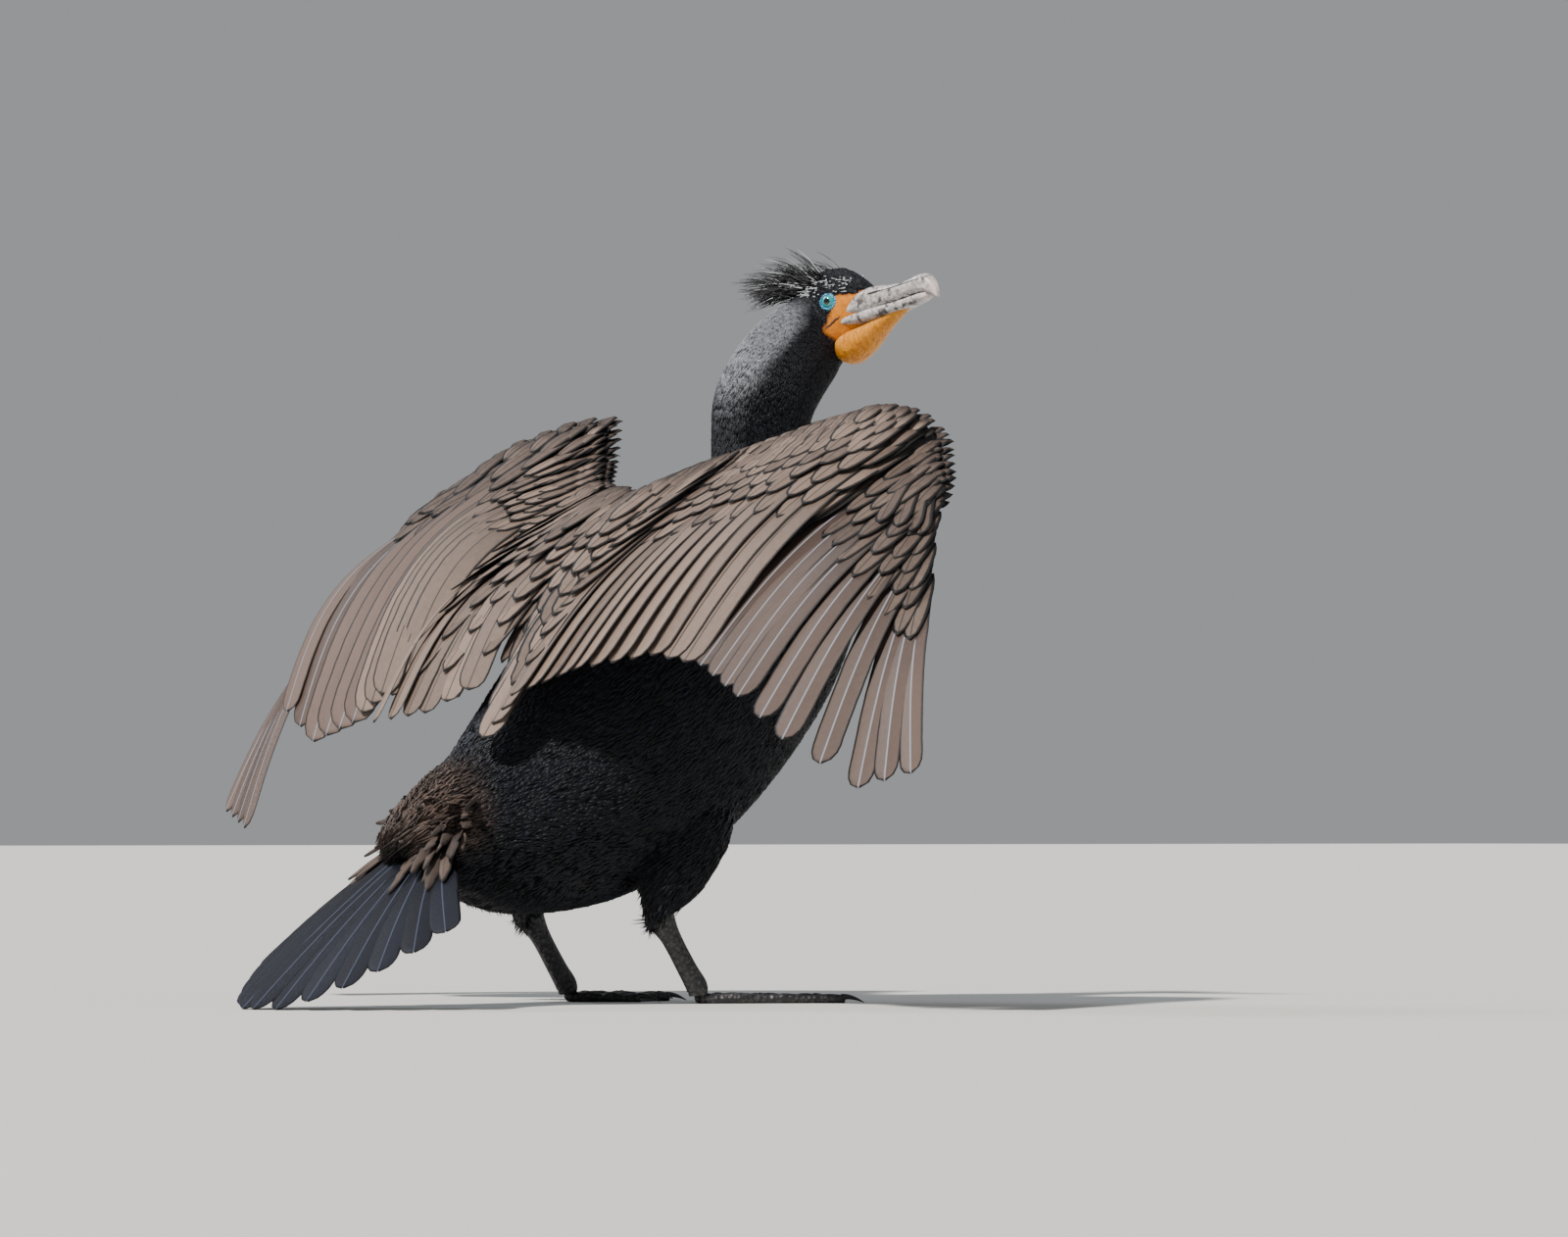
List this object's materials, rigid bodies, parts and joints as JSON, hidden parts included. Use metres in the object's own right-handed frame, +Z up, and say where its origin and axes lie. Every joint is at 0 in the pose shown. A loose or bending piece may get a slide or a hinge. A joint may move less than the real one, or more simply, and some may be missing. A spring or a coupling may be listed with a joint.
{
  "type": "cormorant",
  "caption": "Life-size standing water bird with half-spread wings, a hooked bill, a fanned tail resting on the floor and webbed feet.",
  "frame": {"origin": "middle of the bounding box, on the floor under the feet", "axes": "+X is the way the body faces, +Y is the bird's left wing side, +Z is up"},
  "size_m": [0.4512, 0.6332, 0.4301],
  "materials": {
    "eye": "gloss",
    "bill": "satin",
    "pouch": "satin",
    "wing_feathers": "matte",
    "tail_feathers": "satin",
    "leg_skin": "satin",
    "body_feathers": "satin"
  },
  "bodies": {
    "root": {"bill_lower": "bill", "bill_upper": "bill", "eye_left": "eye", "eye_right": "eye", "foot_left": "leg_skin", "foot_right": "leg_skin", "gular_pouch": "pouch", "head": "body_feathers", "neck": "body_feathers", "shank_left": "leg_skin", "shank_right": "leg_skin", "tail": "tail_feathers", "thigh_left": "body_feathers", "thigh_right": "body_feathers", "torso": "body_feathers", "wing_forearm_left": "wing_feathers", "wing_forearm_right": "wing_feathers", "wing_hand_left": "wing_feathers", "wing_hand_right": "wing_feathers", "wing_shoulder_left": "wing_feathers", "wing_shoulder_right": "wing_feathers"}
  },
  "joints": []
}
